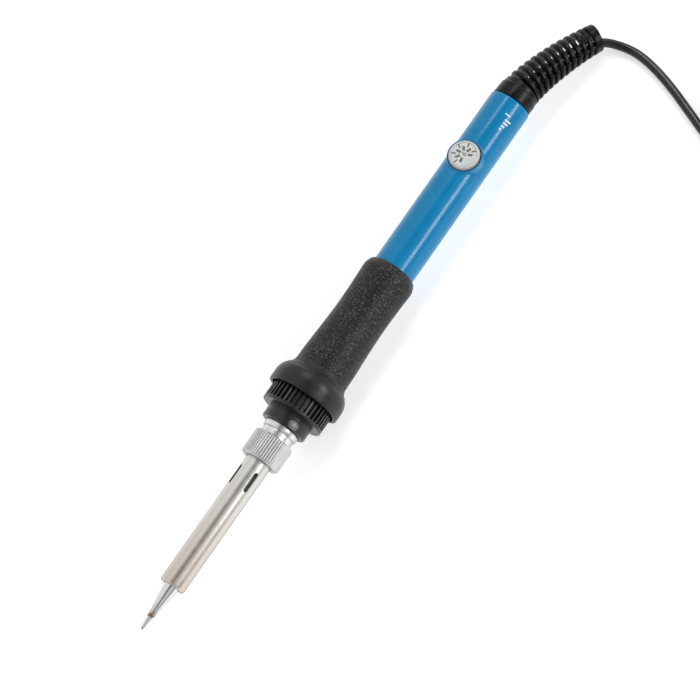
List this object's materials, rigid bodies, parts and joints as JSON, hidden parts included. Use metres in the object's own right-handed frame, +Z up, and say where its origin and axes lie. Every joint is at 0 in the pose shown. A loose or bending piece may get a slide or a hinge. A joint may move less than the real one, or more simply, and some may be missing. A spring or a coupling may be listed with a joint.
{
  "type": "soldering iron",
  "caption": "Slim mains soldering iron with a conical tip, slotted barrel, knurled nut, ribbed collar, rubber grip, temperature dial, coiled cord and plug.",
  "frame": {"origin": "on the surface that the iron lies on, under the iron's axis and 101.6 mm behind the tip's end, about midway from the tip to the tube's rear end", "axes": "+X along the iron from the tip to the cord, +Z up through the dial, -Y the side that the cord bends to"},
  "size_m": [0.2983, 0.1134, 0.0246],
  "materials": {
    "tip_plating": "bright iron and chrome plating, tinned end",
    "barrel_steel": "satin stainless steel",
    "nickel": "bright nickel plate",
    "collar_resin": "semi-gloss moulded resin",
    "grip_rubber": "matte grained rubber",
    "blue_plastic": "glossy moulded plastic",
    "grey_plastic": "satin moulded plastic",
    "black_plastic": "satin",
    "ceramic": "unglazed alumina",
    "board": "solder mask",
    "red_plastic": "dipped epoxy",
    "copper": "bare copper",
    "glass_fibre": "braided sleeve",
    "relief_rubber": "satin moulded rubber",
    "cord_rubber": "smooth extruded jacket",
    "plug_plastic": "satin moulded",
    "brass": "bright"
  },
  "bodies": {
    "handle": {"barrel_nipple": "nickel", "collar": "collar_resin", "grip_sleeve": "grip_rubber", "handle_tube": "blue_plastic", "dial_resistor": "black_plastic", "ceramic_heater": "ceramic", "heater_bush": "ceramic", "circuit_board": "board", "power_triac": "black_plastic", "film_capacitor": "red_plastic", "trigger_diac": "red_plastic", "timing_resistor": "grey_plastic", "limit_resistor": "grey_plastic", "heater_wire_a": "nickel", "heater_wire_b": "nickel", "heater_wire_sleeve_a": "glass_fibre", "heater_wire_sleeve_b": "glass_fibre", "mains_wire_a": "copper", "mains_wire_b": "copper", "cord_crimp": "nickel", "strain_relief": "relief_rubber", "cord_lead_in": "cord_rubber", "cord_run": "cord_rubber", "cord_coil": "cord_rubber", "coil_tie": "black_plastic", "cord_tail": "cord_rubber", "plug_body": "plug_plastic", "plug_blade_a": "brass", "plug_blade_b": "brass"},
    "barrel": {"soldering_tip": "tip_plating", "barrel_tube": "barrel_steel"},
    "nut": {"barrel_nut": "nickel"},
    "dial": {"temperature_dial": "grey_plastic", "dial_shaft": "black_plastic"}
  },
  "joints": [
    {"name": "barrel_travel", "type": "slide", "parent": "handle", "child": "barrel", "axis": [-1, 0, 0], "range_m": [0, 0.005]},
    {"name": "nut_turn", "type": "hinge", "parent": "barrel", "child": "nut", "pos_m": [-0.0347, 0, 0.0123], "axis": [-1, 0, 0], "range_deg": [0, 1800]},
    {"name": "dial_turn", "type": "hinge", "parent": "handle", "child": "dial", "pos_m": [0.0765, 0, 0.0172], "axis": [0, 0, 1], "range_deg": [-135, 135]}
  ],
  "couplings": [
    {"joint": "barrel_travel", "follows": "nut_turn", "m_per_rad": 0.00015915}
  ]
}
